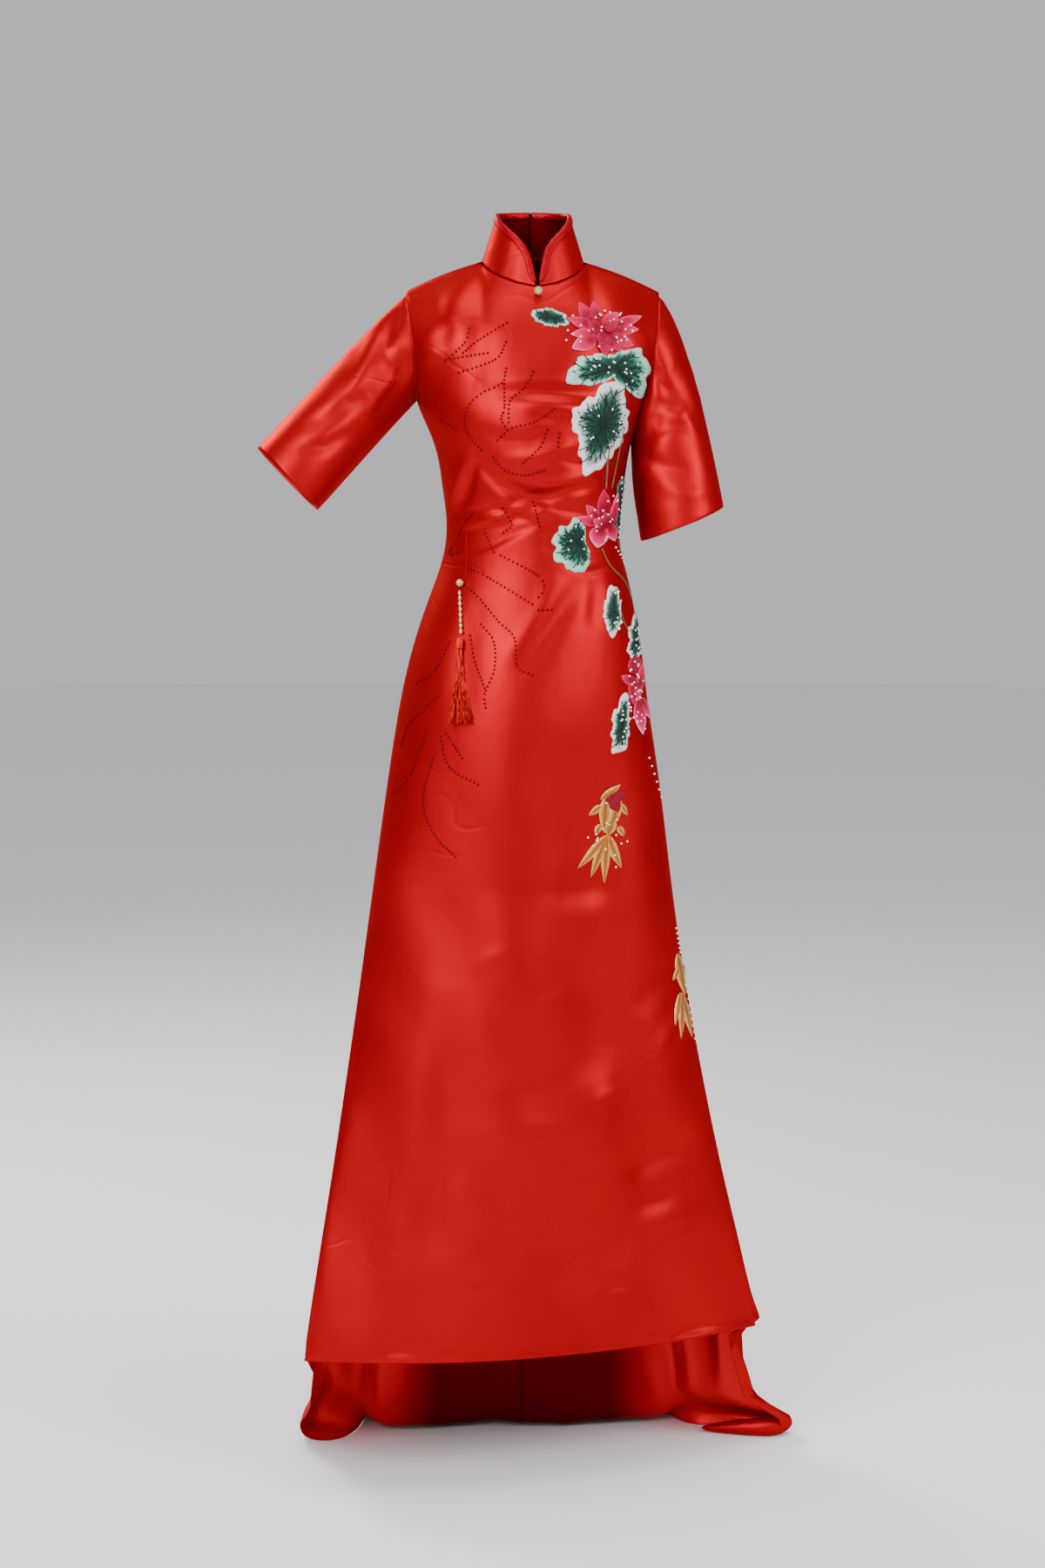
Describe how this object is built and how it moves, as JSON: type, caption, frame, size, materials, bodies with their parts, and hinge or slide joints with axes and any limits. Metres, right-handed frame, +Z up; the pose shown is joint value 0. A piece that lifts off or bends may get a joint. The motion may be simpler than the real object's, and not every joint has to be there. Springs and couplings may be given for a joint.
{
  "type": "cheongsam wedding dress",
  "caption": "Floor-length satin wedding dress in the cheongsam cut, with stand collar, elbow sleeves, embroidered flowers, beaded tassel and a short train, hollow as worn.",
  "frame": {"origin": "point between the shoulders at the base of the neck, where the wearer's shoulders hold the dress up", "axes": "+Z up along the wearer's spine, -Y out of the front of the dress, +X to the right as seen from in front"},
  "size_m": [0.7065, 0.7805, 1.6094],
  "materials": {
    "satin": "satin",
    "binding": "satin",
    "leaf": "matte",
    "petal": "matte",
    "gold": "satin",
    "pearl": "gloss",
    "tassel": "satin",
    "zip": "gloss"
  },
  "bodies": {
    "dress": {"front_panel": "satin", "back_left": "satin", "back_right": "satin", "sleeve_left": "satin", "sleeve_right": "satin", "collar_left": "satin", "collar_right": "satin", "collar_binding_left": "binding", "collar_binding_right": "binding", "leaf_1": "leaf", "leaf_2": "leaf", "leaf_3": "leaf", "leaf_4": "leaf", "leaf_5": "leaf", "leaf_6": "leaf", "leaf_7": "leaf", "leaf_8": "leaf", "lotus_1": "petal", "lotus_2": "petal", "lotus_3": "petal", "goldfish_1": "gold", "goldfish_2": "gold", "button": "pearl", "drop_big_bead": "pearl", "drop_bead_string": "pearl", "tassel": "tassel", "zip_slider": "zip"},
    "zip_pull": {"zip_pull_tab": "zip"}
  },
  "joints": [
    {"name": "zip_pull_turn", "type": "hinge", "parent": "dress", "child": "zip_pull", "pos_m": [0, 0.04833, 0.06292], "axis": [1, 0, 0], "range_deg": [0, 150]}
  ]
}
